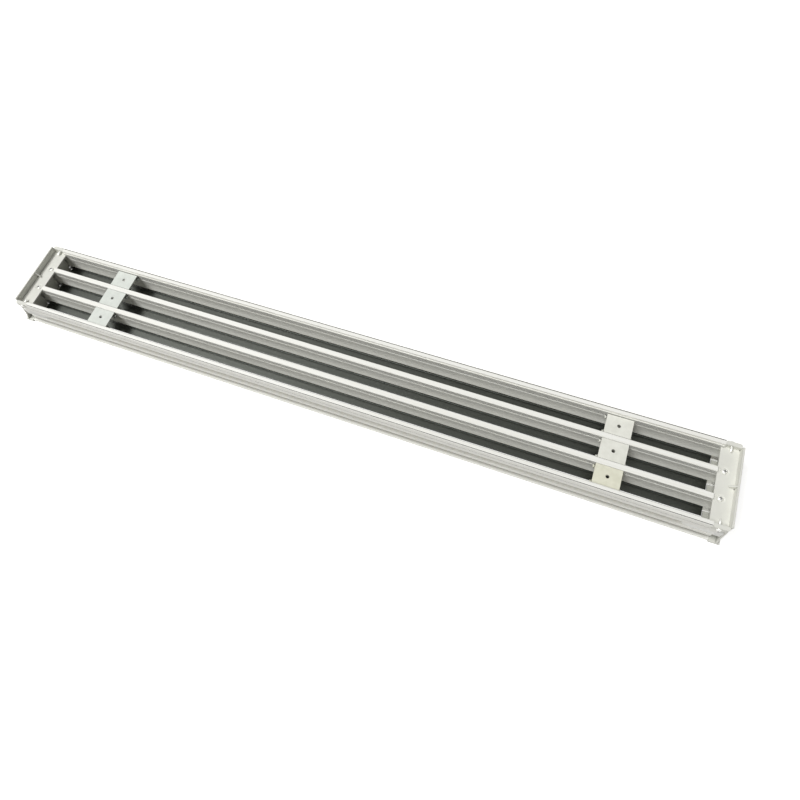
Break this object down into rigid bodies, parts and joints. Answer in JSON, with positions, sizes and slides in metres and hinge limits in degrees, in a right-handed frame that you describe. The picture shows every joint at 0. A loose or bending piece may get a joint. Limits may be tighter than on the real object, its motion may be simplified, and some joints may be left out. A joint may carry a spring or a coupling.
{
  "type": "linear slot diffuser",
  "caption": "Long aluminium slot diffuser on its face: outer rails, narrow bars between the slots, pairs of black hinged blades, hooked spacer clips and moulded end caps.",
  "frame": {"origin": "middle of the face, on the plane that the face flange lies on", "axes": "+X along the slots, +Y across them, +Z from the face to the back"},
  "size_m": [1.005, 0.119, 0.045],
  "materials": {
    "extruded_aluminium": "satin, natural",
    "clip_aluminium": "satin, mill",
    "end_cap_plastic": "satin off-white",
    "key_plastic": "satin off-white",
    "blade_black": "satin black",
    "screw_steel": "zinc plated"
  },
  "bodies": {
    "frame": {"front_rail": "extruded_aluminium", "rear_rail": "extruded_aluminium", "front_bar": "extruded_aluminium", "rear_bar": "extruded_aluminium", "left_end_cap": "end_cap_plastic", "right_end_cap": "end_cap_plastic", "left_front_spacer": "clip_aluminium", "left_middle_spacer": "clip_aluminium", "left_rear_spacer": "clip_aluminium", "right_front_spacer": "clip_aluminium", "right_middle_spacer": "clip_aluminium", "right_rear_spacer": "clip_aluminium", "left_front_key": "key_plastic", "left_rear_key": "key_plastic", "right_front_key": "key_plastic", "right_rear_key": "key_plastic", "bar_screws": "screw_steel", "corner_screws": "screw_steel"},
    "front_near_blade": {"front_near_blade": "blade_black"},
    "front_far_blade": {"front_far_blade": "blade_black"},
    "middle_near_blade": {"middle_near_blade": "blade_black"},
    "middle_far_blade": {"middle_far_blade": "blade_black"},
    "rear_near_blade": {"rear_near_blade": "blade_black"},
    "rear_far_blade": {"rear_far_blade": "blade_black"}
  },
  "joints": [
    {"name": "front_near_hinge", "type": "hinge", "parent": "frame", "child": "front_near_blade", "pos_m": [0, -0.0452, 0.0031], "axis": [1, 0, 0], "range_deg": [0, 70]},
    {"name": "front_far_hinge", "type": "hinge", "parent": "frame", "child": "front_far_blade", "pos_m": [0, -0.0218, 0.0031], "axis": [-1, 0, 0], "range_deg": [0, 70]},
    {"name": "middle_near_hinge", "type": "hinge", "parent": "frame", "child": "middle_near_blade", "pos_m": [0, -0.0122, 0.0031], "axis": [1, 0, 0], "range_deg": [0, 70]},
    {"name": "middle_far_hinge", "type": "hinge", "parent": "frame", "child": "middle_far_blade", "pos_m": [0, 0.0122, 0.0031], "axis": [-1, 0, 0], "range_deg": [0, 70]},
    {"name": "rear_near_hinge", "type": "hinge", "parent": "frame", "child": "rear_near_blade", "pos_m": [0, 0.0218, 0.0031], "axis": [1, 0, 0], "range_deg": [0, 70]},
    {"name": "rear_far_hinge", "type": "hinge", "parent": "frame", "child": "rear_far_blade", "pos_m": [0, 0.0452, 0.0031], "axis": [-1, 0, 0], "range_deg": [0, 70]}
  ]
}
